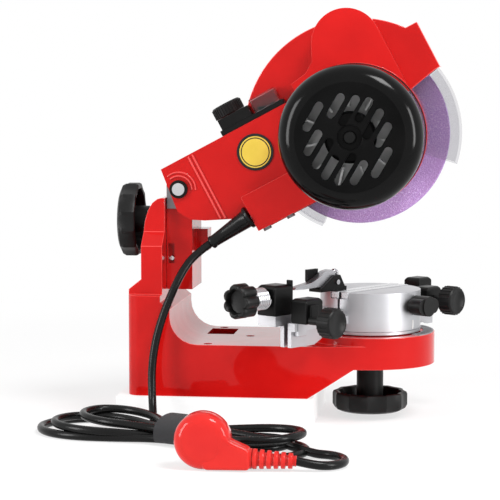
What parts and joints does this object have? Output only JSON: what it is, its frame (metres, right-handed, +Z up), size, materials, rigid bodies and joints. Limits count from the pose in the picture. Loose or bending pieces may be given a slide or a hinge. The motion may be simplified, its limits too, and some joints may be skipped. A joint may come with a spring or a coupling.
{
  "type": "bench chain grinder",
  "caption": "Bench grinder for saw chains: a base with a turning chain vise and a motor head that tilts and swings a thin grinding disc down onto it.",
  "frame": {"origin": "midway between the two rear bench bolt holes, on the underside of the base", "axes": "+X from the column towards the vise, +Y away from the motor, +Z up"},
  "size_m": [0.336, 0.3193, 0.3279],
  "materials": {
    "red_paint": "gloss",
    "plate": "satin",
    "steel": "satin",
    "black": "matte",
    "clear": "clear",
    "gloss_black": "gloss",
    "copper": "satin",
    "cast": "as cast",
    "rocker": "gloss",
    "badge": "gloss",
    "rubber": "matte",
    "fan": "matte",
    "disc": "grit",
    "cord": "satin",
    "strap": "woven",
    "plug": "gloss"
  },
  "bodies": {
    "base": {"base_casting": "red_paint", "vise_scale_plate": "plate", "cord_lower": "cord", "cord_hank": "cord", "cord_tie": "strap", "cord_tail": "cord", "plug_body": "plug", "plug_pins": "steel"},
    "tilt_bracket": {"tilt_bracket": "red_paint", "tilt_stud": "steel", "swing_pin": "steel", "pin_rings": "black", "return_spring": "steel"},
    "tilt_knob": {"tilt_knob": "black"},
    "head": {"arm_housing": "red_paint", "wiring_box": "red_paint", "motor_housing": "red_paint", "guard_shell": "red_paint", "guard_cover": "red_paint", "pan_screws": "steel", "clear_front_guard": "clear", "clear_rear_guard": "clear", "motor_cap": "gloss_black", "cap_screw": "steel", "stator_core": "steel", "stator_windings": "copper", "bearings": "steel", "capacitor": "cast", "switch_base": "black", "switch_cover": "clear", "round_badge": "badge", "strain_relief": "rubber", "cord_upper": "cord"},
    "spindle": {"motor_shaft": "steel", "rotor_core": "steel", "cooling_fan": "fan", "disc_flanges": "cast", "disc_nut": "steel", "grinding_disc": "disc"},
    "switch": {"switch_rocker": "rocker"},
    "stop_screw": {"stop_screw": "steel"},
    "stop_knob": {"stop_knob": "black"},
    "vise": {"vise_table": "cast", "fixed_rail": "steel", "fixed_blocks": "black", "clamp_screw": "steel", "lock_stud": "steel", "pawl_bracket": "black", "pawl_pin": "steel", "adjuster_collar": "steel"},
    "vise_jaw": {"moving_jaw": "cast", "moving_rail": "steel", "moving_blocks": "black"},
    "clamp_lever": {"clamp_lever": "black"},
    "lock_knob": {"lock_knob": "black"},
    "pawl": {"chain_pawl": "cast", "pawl_screw": "steel"},
    "adjuster_knob": {"adjuster_knob": "black"},
    "near_side_knob": {"near_side_knob": "black"},
    "far_side_knob": {"far_side_knob": "black"}
  },
  "joints": [
    {"name": "head_tilt", "type": "hinge", "parent": "base", "child": "tilt_bracket", "pos_m": [-0.04, 0, 0.1365], "axis": [-1, 0, 0], "range_deg": [0, 30]},
    {"name": "head_swing", "type": "hinge", "parent": "tilt_bracket", "child": "head", "pos_m": [-0.026, 0, 0.163], "axis": [0, 1, 0], "range_deg": [0, 17], "stiffness_Nm_per_rad": 14, "springref_deg": -34.38},
    {"name": "spindle_spin", "type": "hinge", "parent": "head", "child": "spindle", "pos_m": [0.11644, 0, 0.20759], "axis": [0, 1, 0], "continuous": true},
    {"name": "switch_rock", "type": "hinge", "parent": "head", "child": "switch", "pos_m": [0.04447, -0.023, 0.22856], "axis": [0, -1, 0], "range_deg": [0, 13]},
    {"name": "stop_slide", "type": "slide", "parent": "head", "child": "stop_screw", "axis": [-0.4695, 0, 0.8829], "range_m": [-0.002, 0.002]},
    {"name": "stop_turn", "type": "hinge", "parent": "stop_screw", "child": "stop_knob", "pos_m": [0.00687, 0.0225, 0.22578], "axis": [-0.4695, 0, 0.8829], "range_deg": [-720, 720]},
    {"name": "tilt_knob_turn", "type": "hinge", "parent": "tilt_bracket", "child": "tilt_knob", "pos_m": [-0.07, 0, 0.1365], "axis": [-1, 0, 0], "range_deg": [0, 180]},
    {"name": "vise_turn", "type": "hinge", "parent": "base", "child": "vise", "pos_m": [0.126, 0, 0.05], "axis": [0, 0, 1], "range_deg": [0, 70]},
    {"name": "lock_turn", "type": "hinge", "parent": "vise", "child": "lock_knob", "pos_m": [0.126, 0, -0.01], "axis": [0, 0, 1], "range_deg": [0, 180]},
    {"name": "jaw_slide", "type": "slide", "parent": "vise", "child": "vise_jaw", "axis": [0.8192, -0.5736, 0], "range_m": [-0.001, 0.0025]},
    {"name": "lever_turn", "type": "hinge", "parent": "vise_jaw", "child": "clamp_lever", "pos_m": [0.16876, -0.02262, 0.071], "axis": [0.8192, -0.5736, 0], "range_deg": [-60, 150]},
    {"name": "pawl_swing", "type": "hinge", "parent": "vise", "child": "pawl", "pos_m": [0.09544, -0.01645, 0.089], "axis": [-0.8192, 0.5736, 0], "range_deg": [0, 18]},
    {"name": "adjuster_turn", "type": "hinge", "parent": "vise", "child": "adjuster_knob", "pos_m": [0.03501, -0.10903, 0.083], "axis": [-0.5736, -0.8192, 0], "range_deg": [-180, 180]},
    {"name": "near_knob_turn", "type": "hinge", "parent": "vise_jaw", "child": "near_side_knob", "pos_m": [0.10165, -0.10625, 0.067], "axis": [0.8192, -0.5736, 0], "range_deg": [0, 180]},
    {"name": "far_knob_turn", "type": "hinge", "parent": "vise_jaw", "child": "far_side_knob", "pos_m": [0.18958, 0.02629, 0.07], "axis": [0.8192, -0.5736, 0], "range_deg": [0, 180]}
  ],
  "couplings": [
    {"joint": "stop_turn", "follows": "stop_slide", "rad_per_m": 6283.2},
    {"joint": "lever_turn", "follows": "jaw_slide", "rad_per_m": 1047.2}
  ]
}
